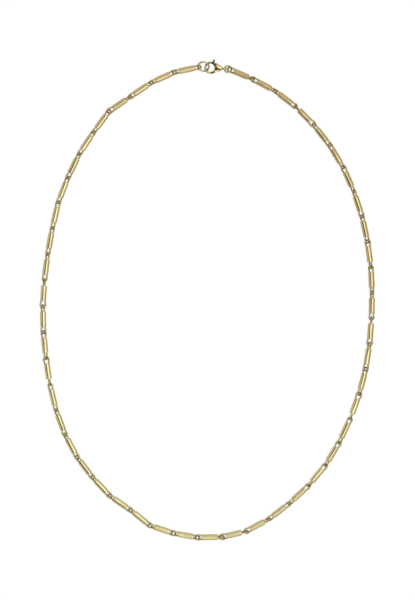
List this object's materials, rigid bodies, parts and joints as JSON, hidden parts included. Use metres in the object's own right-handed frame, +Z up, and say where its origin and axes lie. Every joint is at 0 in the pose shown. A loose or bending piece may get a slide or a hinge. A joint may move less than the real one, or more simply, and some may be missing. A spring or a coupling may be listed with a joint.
{
  "type": "tube necklace",
  "caption": "Closed oval neck chain of slim polished tube links with a soldered wire eye at each end, fastened by a small lever clasp.",
  "frame": {"origin": "on the surface that the necklace lies on, under the middle of its outline", "axes": "+Z up, +Y along the oval's long axis towards the clasp, +X across it, towards the side on which the clasp's tail lies"},
  "size_m": [0.1321, 0.1896, 0.0033],
  "materials": {
    "gold_links": "polished yellow gold",
    "gold_rings": "polished yellow gold",
    "gold_clasp": "polished yellow gold",
    "gold_pin": "polished yellow gold"
  },
  "bodies": {
    "necklace": {"tube_chain_right": "gold_links", "tube_chain_left": "gold_links", "jump_ring": "gold_rings", "end_ring": "gold_rings", "clasp_body": "gold_clasp", "pivot_pin": "gold_pin"},
    "lever": {"clasp_lever": "gold_clasp"}
  },
  "joints": [
    {"name": "lever_pivot", "type": "hinge", "parent": "necklace", "child": "lever", "pos_m": [0.00342, 0.09229, 0.00145], "axis": [0.0522, -0.004, 0.9986], "range_deg": [0, 20], "stiffness_Nm_per_rad": 0.001, "springref_deg": -20.05}
  ]
}
